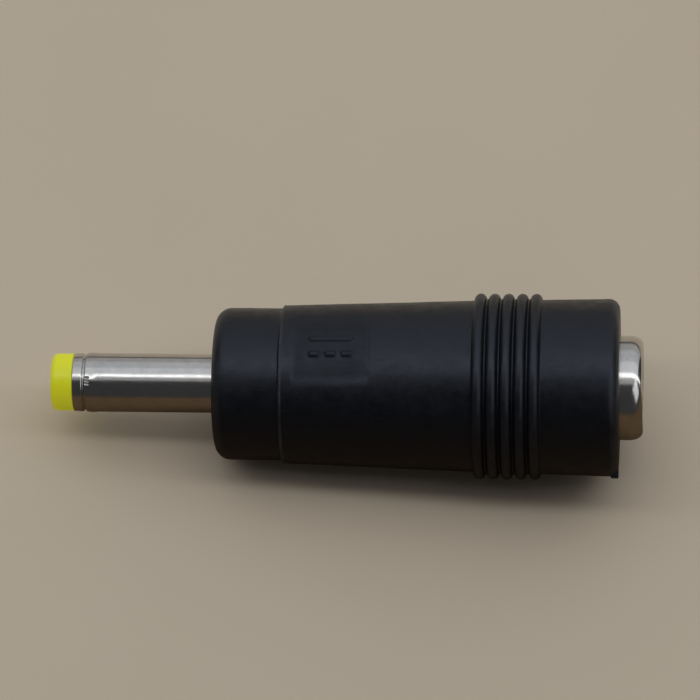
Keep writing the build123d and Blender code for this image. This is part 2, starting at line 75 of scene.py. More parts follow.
NOSE_LENGTH, NOSE_RADIUS, NOSE_ROUNDING = 4.6, 5.15, 1.0
STEP_RADIUS, TAPER_END_RADIUS = 5.35, 5.8
REAR_RADIUS, REAR_ROUNDING = 6.0, 0.75
SEAM_HEIGHT, SEAM_WIDTH = 0.04, 0.12
RIB_COUNT, RIB_RADIUS, RIB_PITCH, FIRST_RIB_X, RIB_CREST_RADIUS = 5, 0.40, 0.945, 18.0, 6.3
RIB_ROOT_RADIUS = RIB_CREST_RADIUS - RIB_RADIUS
LAST_RIB_END = FIRST_RIB_X + (RIB_COUNT - 1) * RIB_PITCH + RIB_RADIUS

PANEL_START, PANEL_SIZE, PANEL_DEPTH = 5.5, 5.2, 0.07
PANEL_HALF_WIDTH = PANEL_SIZE / 2 - 0.1
SYMBOL_LENGTH, SYMBOL_BAR, SYMBOL_SPACING, SYMBOL_HEIGHT = 2.9, 0.36, 1.15, 0.13
GATE_ANGLE = 118.0           # degrees from the panel's side, turning towards the camera's side
GATE_LENGTH, GATE_WIDTH, GATE_STAND = 0.55, 0.50, 0.16

BARREL_RADIUS, BARREL_BORE = 2.0, 1.7
CRIMP_X, CRIMP_DEPTH = -8.97, 0.15
MOULD_START, MOULD_END, MOULD_RADIUS = 1.0, 18.2, 4.1
LIP_ROUND_DEPTH, LIP_ROUND_DROP = 0.9, 0.55
ANCHOR_RINGS_X, ANCHOR_RING_WIDTH = (19.6, 22.6), 0.8


# ---------------------------------------------------------------- mesh building

def arc(centre_x, centre_r, radius, start, end, count):
    """Profile points on an arc. Angles in degrees, from +X towards the outside."""
    points = []
    for index in range(count + 1):
        angle = radians(start + (end - start) * index / count)
        points.append((centre_x + radius * cos(angle), centre_r + radius * sin(angle)))
    return points


def run(start, end, step):
    """Profile points along a straight line, ends included."""
    length = hypot(end[0] - start[0], end[1] - start[1])
    count = max(1, round(length / step))
    return [(start[0] + (end[0] - start[0]) * i / count, start[1] + (end[1] - start[1]) * i / count)
            for i in range(count + 1)]


def rounded(corners, step=0.5, segments=6, closed=True):
    """A profile from (x, radius, rounding) corners, divided finely enough to shade smoothly."""
    total = len(corners)
    arcs = []
    for index, (x, r, rounding) in enumerate(corners):
        here = Vector((x, r))
        before = Vector(corners[index - 1][:2])
        after = Vector(corners[(index + 1) % total][:2])
        if rounding <= 0:
            arcs.append([here])
            continue
        to_before, to_after = (before - here).normalized(), (after - here).normalized()
        half = to_before.angle(to_after) / 2
        cut = rounding / max(1e-6, sin(half)) * cos(half)
        start, end = here + to_before * cut, here + to_after * cut
        centre = here + (to_before + to_after).normalized() * (rounding / max(1e-6, sin(half)))
        spoke_start, spoke_end = start - centre, end - centre
        turn = spoke_start.angle_signed(spoke_end)
        arcs.append([centre + Matrix.Rotation(-turn * i / segments, 2) @ spoke_start
                     for i in range(segments + 1)])
    points = []
    for index, current in enumerate(arcs):
        points += [tuple(p) for p in current]
        if closed or index < total - 1:
            following = arcs[(index + 1) % total][0]
            points += run(tuple(current[-1]), tuple(following), step)[1:-1]
    return points


def even_angles(count):
    return [tau * i / count for i in range(count)]


def place(name, data):
    """Puts a mesh, a light or the camera into the scene."""
    made = bpy.data.objects.new(name, data)
    bpy.context.scene.collection.objects.link(made)
    return made


def lathe(name, profile, angles, relief=None):
    """A closed ring of material: profile (x, radius) turned about X. The angle starts at +Z and turns
    towards -Y. relief(x, radius, angle) returns the moved (x, radius)."""
    vertices, faces = [], []
    rows, columns = len(profile), len(angles)
    for x, r in profile:
        for angle in angles:
            at_x, at_r = relief(x, r, angle) if relief else (x, r)
            vertices.append((at_x * MM, -at_r * sin(angle) * MM, at_r * cos(angle) * MM))
    for row in range(rows):
        following = (row + 1) % rows
        for column in range(columns):
            beside = (column + 1) % columns
            faces.append((row * columns + column, row * columns + beside,
                          following * columns + beside, following * columns + column))
    mesh = bpy.data.meshes.new(name)
    mesh.from_pydata(vertices, [], faces)
    mesh.polygons.foreach_set("use_smooth", [True] * len(faces))
    mesh.update()
    return place(name, mesh)


def settle(piece, node):
    """The piece stands for a CAD node and rides with the adapter."""
    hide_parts(node)
    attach(piece, BODY)
    return piece


def smooth_step(value):
    value = min(1.0, max(0.0, value))
    return value * value * (3 - 2 * value)


def inside_box(x, y, centre_x, centre_y, half_x, half_y, soft, soft_y=None):
    """1 inside a rectangle, 0 outside, with soft edges."""
    in_x = smooth_step(0.5 + (half_x - abs(x - centre_x)) / soft)
    return in_x * smooth_step(0.5 + (half_y - abs(y - centre_y)) / (soft_y or soft))


def outward(piece):
    """Turns the faces outward if the profile ran the other way."""
    mesh = piece.data
    volume = 0.0
    for face in mesh.polygons:
        volume += face.center.dot(face.normal) * face.area
    if volume < 0:
        mesh.flip_normals()
    return piece


# ---------------------------------------------------------------- grip

def symbol_height(x, y):
    """The direct-current sign on the panel: a whole bar over three dashes."""
    centre_x, half = PANEL_START + PANEL_SIZE / 2, SYMBOL_SPACING / 2
    soft = 0.22
    height = inside_box(x, y, centre_x, half, SYMBOL_LENGTH / 2, SYMBOL_BAR / 2, soft)
    dash = SYMBOL_LENGTH / 5 + 0.12
    for side in (-1, 0, 1):
        at_x = centre_x + side * (SYMBOL_LENGTH - dash) / 2
        height = max(height, inside_box(x, y, at_x, -half, dash / 2, SYMBOL_BAR / 2, soft))
    return height


def grip_relief(x, r, angle):
    """Panel, sign, parting line and the slight unevenness of the moulding."""
    if r < MOULD_RADIUS + 0.2:
        return x, r
    y, z = -r * sin(angle), r * cos(angle)
    change = 0.0
    if z > 0 and PANEL_START - 0.3 < x < PANEL_START + PANEL_SIZE + 0.3:
        half = PANEL_SIZE / 2
        panel = inside_box(x, y, PANEL_START + half, 0, half, PANEL_HALF_WIDTH - 0.1, 0.34, 0.8)
        change += SYMBOL_HEIGHT * symbol_height(x, y) - PANEL_DEPTH * panel
    point = Vector((x, y, z))
    change += 0.020 * noise.noise(point * 0.42) + 0.007 * noise.noise(point * 1.4 + Vector((7, 3, 1)))
    for side in (0, pi):
        offset = (angle - radians(GATE_ANGLE) - side + pi) % tau - pi
        change += 0.022 * exp(-((offset * r / 0.05) ** 2))
    return x, r + change


def grip_profile():
    """Outside from the nose to the rear, then back along the cavity that the parts inside fill."""
    nose, rear = NOSE_ROUNDING, REAR_ROUNDING
    lip = 0.12
    points = [(GRIP_START + 0.0, BARREL_RADIUS + lip)]
    points += run((GRIP_START, BARREL_RADIUS + lip + 0.1), (GRIP_START, NOSE_RADIUS - nose), 0.4)
    points += arc(GRIP_START + nose, NOSE_RADIUS - nose, nose, 180, 90, 12)[1:]
    points += run((GRIP_START + nose, NOSE_RADIUS), (NOSE_LENGTH - 0.16, NOSE_RADIUS), 0.25)[1:]
    crest = STEP_RADIUS + SEAM_HEIGHT
    points += [(NOSE_LENGTH - 0.08, NOSE_RADIUS + 0.02), (NOSE_LENGTH - 0.03, NOSE_RADIUS + 0.07)]
    points += arc(NOSE_LENGTH + 0.06, crest - 0.08, 0.06, 180, 90, 4)
    points += arc(NOSE_LENGTH + SEAM_WIDTH - 0.02, crest - 0.06, 0.04, 90, 20, 3)
    points += [(NOSE_LENGTH + 2 * SEAM_WIDTH, STEP_RADIUS + 0.008)]
    panel_from, panel_to = PANEL_START - 0.25, PANEL_START + PANEL_SIZE + 0.25
    first_bead = FIRST_RIB_X - RIB_RADIUS

    def on_taper(x):
        share = (x - NOSE_LENGTH) / (first_bead - NOSE_LENGTH)
        return x, STEP_RADIUS + share * (TAPER_END_RADIUS - STEP_RADIUS)

    points += run(on_taper(NOSE_LENGTH + 0.4), on_taper(panel_from), 0.15)
    points += run(on_taper(panel_from), on_taper(panel_to), 0.05)[1:]
    points += run(on_taper(panel_to), on_taper(first_bead - 0.1), 0.25)[1:]
    root = RIB_ROOT_RADIUS
    points += arc(first_bead - 0.07, TAPER_END_RADIUS + 0.07, 0.07, 270, 340, 3)
    for index in range(RIB_COUNT):
        centre = FIRST_RIB_X + index * RIB_PITCH
        points += arc(centre, root, RIB_RADIUS, 170, 10, 16)
        if index < RIB_COUNT - 1:
            points += [(centre + RIB_PITCH / 2, root + 0.012)]
    points += arc(LAST_RIB_END + 0.07, root + 0.06, 0.07, 200, 270, 3)
    points += run((LAST_RIB_END + 0.15, root - 0.008), (GRIP_END - rear, REAR_RADIUS), 0.25)
    points += arc(GRIP_END - rear, REAR_RADIUS - rear, rear, 90, 0, 10)[1:]
    points += run((GRIP_END, REAR_RADIUS - rear), (GRIP_END, SHELL_RADIUS + lip + 0.1), 0.4)[1:]
    points += arc(GRIP_END - lip, SHELL_RADIUS + lip + 0.005, lip, 0, -90, 4)
    points += run((GRIP_END - 0.4, SHELL_RADIUS), (MOULD_END, SHELL_RADIUS), 1.5)
    points += [(MOULD_END, MOULD_RADIUS - 0.4), (MOULD_END - 0.4, MOULD_RADIUS)]
    points += run((MOULD_END - 0.8, MOULD_RADIUS), (5.0, MOULD_RADIUS), 1.5)
    points += [(MOULD_START, 3.5), (MOULD_START, SHOULDER_RADIUS), (0.15, SHOULDER_RADIUS),
               (0.15, BARREL_RADIUS), (GRIP_START + lip, BARREL_RADIUS + 0.004)]
    return points


def grip_angles():
    """Fine columns across the panel and at the parting lines, coarser ones elsewhere."""
    angles = [radians(-34 + 0.7 * i) for i in range(98)]
    angles += [radians(34.6 + 2.2 * i) for i in range(int((360 - 68.6 - 2.2) / 2.2) + 1)]
    extra = []
    for side in (0, 180):
        for offset in (-1.2, -0.8, -0.4, 0, 0.4, 0.8, 1.2):
            extra.append(radians(GATE_ANGLE + side + offset))
    kept = [a for a in angles if all(abs((a - e + pi) % tau - pi) > radians(0.3) for e in extra)]
    return sorted((a % tau) for a in kept + extra)


def gate_stub(material):
    """The trimmed gate: a small torn block on the rear edge."""
    name = "grip_gate_stub"
    mesh = bpy.data.meshes.new(name)
    base = REAR_RADIUS - 0.75
    top = REAR_RADIUS + GATE_STAND
    steps = 8
    vertices, faces = [], []
    for level in range(3):
        for i in range(steps + 1):
            for j in range(steps + 1):
                u, v = i / steps * 2 - 1, j / steps * 2 - 1
                squeeze = (1.0, 1.0, 0.86)[level]
                x = GRIP_END - GATE_LENGTH / 2 + 0.5 * GATE_LENGTH * u * squeeze
                y = 0.5 * GATE_WIDTH * v * squeeze
                z = (base, top - 0.09, top)[level]
                if level == 2:
                    z += 0.035 * noise.noise(Vector((u * 2.1, v * 2.3, 4.0))) - 0.02 * (u * u + v * v)
                vertices.append((x, y, z))
    side = steps + 1
    for level in (0, 2):
        for i in range(steps):
            for j in range(steps):
                a = level * side * side + i * side + j
                quad = (a, a + 1, a + side + 1, a + side)
                faces.append(quad if level == 0 else quad[::-1])
    ring = [i * side for i in range(side)] + [(side - 1) * side + j for j in range(1, side)]
    ring += [i * side + side - 1 for i in range(side - 2, -1, -1)] + list(range(side - 2, 0, -1))
    for level in (0, 1):
        low, high = level * side * side, (level + 1) * side * side
        for k, here in enumerate(ring):
            beside = ring[(k + 1) % len(ring)]
            faces.append((low + here, low + beside, high + beside, high + here))
    turn = radians(GATE_ANGLE)
    placed = [(x * MM, (-z * sin(turn) - y * cos(turn)) * MM, (z * cos(turn) - y * sin(turn)) * MM)
              for x, y, z in vertices]
    mesh.from_pydata(placed, [], faces)
    mesh.polygons.foreach_set("use_smooth", [True] * len(faces))
    mesh.validate()
    mesh.update()
    stub = place(name, mesh)
    stub.data.materials.append(material)
    bevel = stub.modifiers.new("edges", "BEVEL")
    bevel.width = 0.03 * MM
    bevel.segments = 2
    bevel.limit_method = "ANGLE"
    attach(stub, BODY)
    return stub


# ---------------------------------------------------------------- plug

STAKE_ANGLES = [radians(26 + 90 * i) for i in range(4)]
STAKE_START, STAKE_LENGTH, STAKE_WIDTH = CRIMP_X + 0.10, 0.85, 0.62


def sleeve_relief(x, r, angle):
    """Four stake marks behind the crimp, each with three fine tooth cuts, and a hint of unevenness."""
    if r < BARREL_RADIUS - 0.2 or x > GRIP_START:
        return x, r
    change = 0.003 * noise.noise(Vector((x * 0.5, r * sin(angle), r * cos(angle))) * 0.9)
    along = (x - STAKE_START) / STAKE_LENGTH
    if 0 < along < 1:
        for centre in STAKE_ANGLES:
            across = ((angle - centre + pi) % tau - pi) * r
            if abs(across) < STAKE_WIDTH:
                swell = sin(pi * along) * exp(-((across / 0.3) ** 2))
                change += 0.034 * swell
                for tooth in (-0.2, 0.0, 0.2):
                    cut = exp(-(((across - tooth) / 0.05) ** 2)) * smooth_step((0.42 - along) / 0.12)
                    change -= 0.095 * cut * smooth_step(along / 0.1)
    return x, r + change


def sleeve_profile():
    """Outside from the rolled front edge back to the swaged end, then forward along the bore."""
    front, end = SLEEVE_START, SLEEVE_END
    deep = BARREL_RADIUS - CRIMP_DEPTH
    half = 0.15
    points = [(front, BARREL_BORE)]
    points += arc(front + 0.09, BARREL_RADIUS - 0.13, 0.09, 180, 90, 6)
    points += run((front + 0.14, BARREL_RADIUS - 0.036), (CRIMP_X - half, BARREL_RADIUS - 0.012), 0.08)
    points += [(CRIMP_X - 0.09, BARREL_RADIUS - 0.05), (CRIMP_X - 0.04, deep + 0.02), (CRIMP_X, deep),
               (CRIMP_X + 0.04, deep + 0.02), (CRIMP_X + 0.09, BARREL_RADIUS - 0.05),
               (CRIMP_X + half - 0.02, BARREL_RADIUS - 0.006)]
    points += run((CRIMP_X + half + 0.02, BARREL_RADIUS), (CRIMP_X + 1.0, BARREL_RADIUS), 0.03)
    points += run((CRIMP_X + 1.1, BARREL_RADIUS), (GRIP_START + 0.1, BARREL_RADIUS), 0.3)
    points += rounded([(0.15, BARREL_RADIUS, 0), (0.15, SHOULDER_RADIUS, 0.06),
                       (1.0, SHOULDER_RADIUS, 0.06), (1.0, 2.35, 0), (3.0, 2.35, 0.05), (3.0, 1.9, 0),
                       (3.3, 1.9, 0), (3.3, 2.0, 0), (end, 2.0, 0.05), (end, BARREL_BORE + 0.1, 0)],
                      step=5, closed=False)
    points += [(end, BARREL_BORE)]
    points += run((end - 0.1, BARREL_BORE), (CRIMP_X + 0.3, BARREL_BORE), 2.0)
    points += [(CRIMP_X + half, BARREL_BORE), (CRIMP_X, BARREL_BORE - CRIMP_DEPTH),
               (CRIMP_X - half, BARREL_BORE)]
    return points


def sleeve_angles():
    """Fine columns at the stake marks."""
    angles = even_angles(160)
    for centre in STAKE_ANGLES:
        angles += [(centre + radians(-16 + 0.8 * i)) % tau for i in range(41)]
    kept = []
    for angle in sorted(angles):
        if not kept or angle - kept[-1] > radians(0.35):
            kept.append(angle)
    return kept


def tip_profile():
    """The yellow head with its rounded rim and front hole, and the neck inside the sleeve."""
    head = SLEEVE_START
    neck = BARREL_BORE - 0.02
    rim = BARREL_RADIUS - 0.06
    return rounded([
        (TIP_START, 1.42, 0.10), (TIP_START, rim, 0.38), (head - 0.004, rim + 0.01, 0.04),
        (head - 0.004, neck, 0), (CRIMP_X - 0.18, neck, 0), (CRIMP_X, neck - 0.17, 0),
        (CRIMP_X + 0.18, neck, 0), (TIP_NECK_END, neck, 0), (TIP_NECK_END, 1.2, 0), (-9.65, 1.2, 0),
        (-9.65, 1.1, 0),
        (TIP_START + 0.32, 1.1, 0.05)], step=0.25, segments=8)


def tip_relief(x, r, angle):
    """Slight shrinkage of the moulded head."""
    if x > SLEEVE_START - 0.1 or r < 1.3:
        return x, r
    return x, r + 0.008 * noise.noise(Vector((x, r * sin(angle), r * cos(angle))) * 0.8)


# ---------------------------------------------------------------- jack shell

def shell_profile():
    """Outside from the crimped back to the rolled lip, then back along the bore."""
    lip_start = MOUTH - 1.0
    groove = 0.12
    points = [(SHELL_START, 3.16), (SHELL_START, SHELL_RADIUS - 0.05), (SHELL_START + 0.05, SHELL_RADIUS)]
    for start in ANCHOR_RINGS_X:
        points += [(start - 0.01, SHELL_RADIUS), (start, SHELL_RADIUS - groove),
                   (start + ANCHOR_RING_WIDTH, SHELL_RADIUS - groove),
                   (start + ANCHOR_RING_WIDTH + 0.01, SHELL_RADIUS)]
    points += run((23.8, SHELL_RADIUS), (MOUTH - LIP_ROUND_DEPTH - 0.05, SHELL_RADIUS), 0.3)
    for index in range(17):
        angle = pi / 2 * (1 - index / 16)
        points.append((MOUTH - LIP_ROUND_DEPTH * (1 - cos(angle)),
                       SHELL_RADIUS - LIP_ROUND_DROP * (1 - sin(angle))))
    points += arc(MOUTH - 0.18, 2.98, 0.18, 0, -90, 8)
    points += run((MOUTH - 0.3, 2.8), (lip_start + 0.05, 2.8), 0.2)
    points += [(lip_start, 2.84), (lip_start, 3.3), (COVER_START, 3.3), (COVER_START, 3.16)]
    return points


# ---------------------------------------------------------------- materials

class Material:
    """A small helper for building a principled material from named nodes."""

    def __init__(self, name):
        self.material = bpy.data.materials.new(name)
        self.material.use_nodes = True
        self.tree = self.material.node_tree
        self.shader = next(n for n in self.tree.nodes if n.type == "BSDF_PRINCIPLED")
        self.coordinates = self.tree.nodes.new("ShaderNodeTexCoord").outputs["Object"]

    def node(self, kind, **values):
        made = self.tree.nodes.new(kind)
        for key, value in values.items():
            if key in made.inputs:
                made.inputs[key].default_value = value
            else:
                setattr(made, key, value)
        return made

    def link(self, source, target):
        self.tree.links.new(source, target)

    def stretched(self, scale):
        mapping = self.node("ShaderNodeMapping", Scale=scale)
        self.link(self.coordinates, mapping.inputs["Vector"])
        return mapping.outputs["Vector"]

    def noise(self, size, detail=3.0, roughness=0.5, stretch=None, distortion=0.0):
        """Noise whose features are about size millimetres."""
        made = self.node("ShaderNodeTexNoise", Scale=1 / (size * MM), Detail=detail, Roughness=roughness,
                         Distortion=distortion)
        self.link(self.stretched(stretch) if stretch else self.coordinates, made.inputs["Vector"])
        return made.outputs["Fac"]

    def ramp(self, value, low, high, start=0.3, end=0.7):
        """Maps a 0 to 1 value onto low..high between start and end."""
        made = self.node("ShaderNodeMapRange")
        made.inputs["From Min"].default_value = start
        made.inputs["From Max"].default_value = end
        made.inputs["To Min"].default_value = low
        made.inputs["To Max"].default_value = high
        self.link(value, made.inputs["Value"])
        return made.outputs["Result"]

    def mix(self, factor, first, second):
        made = self.node("ShaderNodeMix", data_type="RGBA")
        colour_inputs = [i for i in made.inputs if i.type == "RGBA"]
        for socket, colour in zip(colour_inputs, (first, second)):
            if isinstance(colour, tuple):
                socket.default_value = (*colour, 1)
            else:
                self.link(colour, socket)
        if isinstance(factor, float):
            made.inputs[0].default_value = factor
        else:
            self.link(factor, made.inputs[0])
        return next(o for o in made.outputs if o.type == "RGBA")

    def math(self, operation, first, second):
        made = self.node("ShaderNodeMath", operation=operation)
        for socket, value in zip(made.inputs, (first, second)):
            if isinstance(value, (int, float)):
                socket.default_value = value
            else:
                self.link(value, socket)
        return made.outputs["Value"]

    def bumps(self, *layers):
        """Each layer is (height socket, depth in millimetres). They add up on the surface."""
        normal = None
        for height, depth in layers:
            made = self.node("ShaderNodeBump", Strength=1.0, Distance=depth * MM)
            self.link(height, made.inputs["Height"])
            if normal:
                self.link(normal, made.inputs["Normal"])
            normal = made.outputs["Normal"]
        self.link(normal, self.shader.inputs["Normal"])

    def pointiness(self, start, end):
        """0 on flats, 1 on worn outer edges."""
        geometry = self.node("ShaderNodeNewGeometry")
        return self.ramp(geometry.outputs["Pointiness"], 0.0, 1.0, start, end)

    def set(self, **values):
        for name, value in values.items():
            self.shader.inputs[name.replace("_", " ")].default_value = value


def plastic(name, dark, light, rough):
    """Moulded plastic: cloudy colour, a fine grain and faint flow marks."""
    made = Material(name)
    cloud = made.noise(2.6, detail=4)
    made.link(made.mix(made.ramp(cloud, 0.0, 1.0), dark, light), made.shader.inputs["Base Color"])
    patch = made.noise(1.4, detail=5, roughness=0.6)
    made.link(made.ramp(patch, *rough), made.shader.inputs["Roughness"])
    flow, grain = made.noise(3.2, detail=3, distortion=0.8), made.noise(0.09, detail=2)
    made.bumps((flow, 0.02), (grain, 0.004))
    made.set(Specular_IOR_Level=0.5)
    return made.material


def grip_plastic():
    """Soft black moulding: satin grain, duller inside the panel, a cool sheen, and painted highlight lines on
    the seam, rims and rib crests.
    """
    made = Material("grip_black")
    cloud = made.noise(2.6, detail=4)
    colour = made.mix(made.ramp(cloud, 0.0, 1.0), (0.0026, 0.0030, 0.0046), (0.0040, 0.0046, 0.0070))
    patch = made.noise(1.1, detail=5, roughness=0.65)
    # painted highlight: the seam ridge, rims and rib crests are lightened towards a bluish grey that stands
    # in for the light lines along them
    lighter_edges = made.math("MULTIPLY", painted_edge_highlights(made), made.ramp(patch, 0.35, 1.0, 0.40, 0.60))
    made.link(made.mix(lighter_edges, colour, (0.036, 0.038, 0.047)), made.shader.inputs["Base Color"])
    dull = made.ramp(patch, 0.34, 0.50)
    lines = made.noise(0.12, detail=2, stretch=(0.06, 1, 1), distortion=0.4)
    dull = made.math("ADD", dull, made.ramp(lines, 0.0, 0.12, 0.62, 0.72))
    dull = made.math("ADD", dull, made.math("MULTIPLY", panel_mask(made), 0.14))
    made.link(dull, made.shader.inputs["Roughness"])
    made.bumps((made.noise(3.0, detail=3, distortion=0.8), 0.03), (made.noise(0.55, detail=3), 0.006),
               (made.noise(0.085, detail=2), 0.006))
    made.set(Specular_IOR_Level=0.58, Specular_Tint=(0.76, 0.83, 1.0, 1))
    return made.material


def painted_edge_highlights(made):
    """Where the painted highlight lines go: 1 on the seam's ridge, less on the rims and the ribs' crests, 0
    elsewhere.
    """
    parts = made.node("ShaderNodeSeparateXYZ")
    made.link(made.coordinates, parts.inputs["Vector"])
    squares = [made.math("MULTIPLY", parts.outputs[axis], parts.outputs[axis]) for axis in ("Y", "Z")]
    radius = made.math("SQRT", made.math("ADD", *squares), 0)

    def ring(x, half_width, from_radius, strength):
        aside = made.math("ABSOLUTE", made.math("SUBTRACT", parts.outputs["X"], x * MM), 0)
        near = made.ramp(aside, strength, 0.0, 0.4 * half_width * MM, half_width * MM)
        outside = made.ramp(radius, 0.0, 1.0, from_radius * MM, (from_radius + 0.06) * MM)
        return made.math("MULTIPLY", near, outside)

    edges = ring(NOSE_LENGTH + SEAM_WIDTH * 0.6, SEAM_WIDTH * 1.3, NOSE_RADIUS + 0.05, 1.0)
    rims = (ring(GRIP_END - 0.25, 0.35, REAR_RADIUS - 0.45, 0.35), ring(0.3, 0.4, NOSE_RADIUS - 0.6, 0.30))
    for rim in rims:
        edges = made.math("MAXIMUM", edges, rim)
    crests = made.ramp(radius, 0.0, 0.25, (RIB_CREST_RADIUS - 0.10) * MM, RIB_CREST_RADIUS * MM)
    return made.math("MAXIMUM", edges, crests)


def panel_mask(made):
    """1 on the panel, 0 elsewhere, from the material's object coordinates."""
    parts = made.node("ShaderNodeSeparateXYZ")
    made.link(made.coordinates, parts.inputs["Vector"])
    centre = (PANEL_START + PANEL_SIZE / 2) * MM
    from_x = made.math("ABSOLUTE", made.math("SUBTRACT", parts.outputs["X"], centre), 0)
    from_y = made.math("ABSOLUTE", parts.outputs["Y"], 0)
    soft = 0.3 * MM
    in_x = made.ramp(from_x, 1.0, 0.0, PANEL_SIZE / 2 * MM - soft, PANEL_SIZE / 2 * MM)
    in_y = made.ramp(from_y, 1.0, 0.0, PANEL_HALF_WIDTH * MM - 2 * soft, PANEL_HALF_WIDTH * MM)
    in_z = made.ramp(parts.outputs["Z"], 0.0, 1.0, 3 * MM, 4 * MM)
    return made.math("MULTIPLY", made.math("MULTIPLY", in_x, in_y), in_z)


def metal(name, colour, dull, rough, stretch, line=0.05, depth=0.0015):
    """Plated or drawn metal: fine marks along one direction, dull patches and brighter rubbed edges."""
    made = Material(name)
    marks = made.noise(line, detail=3, stretch=stretch)
    patch = made.noise(0.9, detail=5, roughness=0.65)
    tint = made.mix(made.ramp(patch, 0.0, 1.0, 0.35, 0.75), colour, dull)
    lighter_edges = tuple(min(1.0, c * 1.12) for c in colour)
    tint = made.mix(made.pointiness(0.53, 0.62), tint, lighter_edges)
    made.link(tint, made.shader.inputs["Base Color"])
    base = made.ramp(patch, rough[0], rough[1])
    made.link(made.math("ADD", base, made.ramp(marks, 0.0, 0.07, 0.5, 0.75)), made.shader.inputs["Roughness"])
    made.bumps((marks, depth))
    made.set(Metallic=1.0)
    return made.material


def yellow_plastic():
    """Bright yellow moulding: cloudy, a little translucent, with a painted glow that makes it slightly
    brighter than its light.
    """
    made = Material("tip_yellow")
    cloud = made.noise(1.1, detail=3)
    made.link(made.mix(made.ramp(cloud, 0.0, 1.0), (0.93, 0.95, 0.020), (1.0, 0.98, 0.030)),
              made.shader.inputs["Base Color"])
    made.link(made.ramp(made.noise(0.5, detail=4), 0.26, 0.40), made.shader.inputs["Roughness"])
    made.bumps((made.noise(0.7, detail=2), 0.006), (made.noise(0.06, detail=2), 0.0015))
    made.set(Subsurface_Weight=0.20, Subsurface_Radius=(0.6, 0.5, 0.1), Subsurface_Scale=0.5 * MM)
    # painted glow: a faint yellow emission lifts the tip above what the lamps give it
    made.set(Emission_Color=(0.90, 0.95, 0.02, 1), Emission_Strength=0.13)
    return made.material


ALONG = (0.05, 1.0, 1.0)      # marks drawn out along the adapter's axis
AROUND = (1.0, 0.12, 0.12)    # marks that run round it, from turning


def paint_slots():
    """One material for each of the record's slots."""
    return {
        "grip_black": grip_plastic(),
        "tip_yellow": yellow_plastic(),
        "nickel_barrel": metal("nickel_barrel", (0.66, 0.64, 0.62), (0.55, 0.53, 0.51), (0.12, 0.20), ALONG),
        "nickel_shell": metal("nickel_shell", (0.68, 0.66, 0.64), (0.56, 0.55, 0.53), (0.12, 0.20), AROUND),
        "contact_tin": metal("contact_tin", (0.66, 0.60, 0.46), (0.55, 0.46, 0.30), (0.18, 0.30), AROUND),
        "lug_tin": metal("lug_tin", (0.60, 0.60, 0.59), (0.46, 0.46, 0.45), (0.28, 0.42), ALONG),
        "spring_bronze": metal("spring_bronze", (0.66, 0.50, 0.30), (0.52, 0.36, 0.20), (0.20, 0.34), ALONG),
        "jack_black": plastic("jack_black", (0.008, 0.008, 0.009), (0.014, 0.014, 0.015), (0.34, 0.48)),
        "bush_white": plastic("bush_white", (0.60, 0.58, 0.52), (0.68, 0.66, 0.60), (0.36, 0.50)),
        "mould_grey": plastic("mould_grey", (0.42, 0.42, 0.40), (0.55, 0.55, 0.53), (0.42, 0.60)),
        "wire_red": plastic("wire_red", (0.40, 0.012, 0.010), (0.48, 0.022, 0.018), (0.26, 0.36)),
        "wire_black": plastic("wire_black", (0.010, 0.010, 0.011), (0.018, 0.018, 0.020), (0.26, 0.36)),
        "copper": metal("copper", (0.72, 0.36, 0.20), (0.50, 0.24, 0.13), (0.22, 0.36), ALONG),
        "heatshrink": plastic("heatshrink", (0.010, 0.010, 0.012), (0.020, 0.020, 0.023), (0.40, 0.55)),
        "solder": metal("solder", (0.62, 0.62, 0.63), (0.46, 0.46, 0.47), (0.16, 0.34), (1, 1, 1), line=0.2),
    }


def paint_cad_nodes(materials):
    """Gives each CAD node its slot's material."""
    slot_of = {s["node"]: s["material_slot"] for s in frame["record"]["subparts"]}
    for node, shown in frame["nodes"].items():
        shown.material_slots[0].material = materials[slot_of[node]]


# ---------------------------------------------------------------- floor, camera, light

FLOOR_REACH = 3.0
REST_TILT = 3.8              # degrees: the adapter rests on its nose's edge and its first rib
REST_ROLL = 3.5              # degrees that the panel's side leans towards the camera

up = Vector((sin(radians(REST_TILT)), sin(radians(REST_ROLL)), 0))
up.z = sqrt(1 - up.x ** 2 - up.y ** 2)
along_floor = (Vector((1, 0, 0)) - up * up.x).normalized()
into_floor = up.cross(along_floor)
stage_turn = Matrix((along_floor, into_floor, up)).transposed()
down = -Vector((0, up.y, up.z)).normalized()
rib_touch = Vector((FIRST_RIB_X * MM, 0, 0)) + down * RIB_CREST_RADIUS * MM
floor_height = rib_touch.dot(up)
stage_centre = Vector((9.1 * MM, 0, 0))
stage_centre += up * (floor_height - stage_centre.dot(up))


def on_stage(x, y, z):
    """A point in metres, along the floor, away from the camera and above the floor."""
    return stage_centre + stage_turn @ Vector((x, y, z))


def sheet(name, side, front, behind, lift, material):
    """A flat rectangle on the stage, from front to behind and as far to either side."""
    mesh = bpy.data.meshes.new(name)
    outline = ((-side, front), (side, front), (side, behind), (-side, behind))
    corners = [on_stage(x, y, lift) for x, y in outline]
    mesh.from_pydata(corners, [], [(0, 1, 2, 3)])
    mesh.materials.append(material)
    laid = place(name, mesh)
    return laid


def lay_floor():
    made = Material("floor_paper")
    cloud = made.noise(30, detail=4)
    made.link(made.mix(made.ramp(cloud, 0.0, 1.0), (0.84, 0.705, 0.540), (0.87, 0.730, 0.565)),
              made.shader.inputs["Base Color"])
    made.link(made.ramp(made.noise(4, detail=4), 0.55, 0.70), made.shader.inputs["Roughness"])
    made.bumps((made.noise(0.35, detail=3), 0.01))
    made.set(Specular_IOR_Level=0.0)
    sheet("floor", FLOOR_REACH, -FLOOR_REACH, FLOOR_REACH, 0, made.material)


LIGHT_DISTANCE = 0.50
END_RADIANCE, END_WIDTH, END_HEIGHT = 0.80, 0.26, 0.34
END_ASIDE, END_ELEVATION = 39, 52            # degrees towards the jack, and up from the camera's side
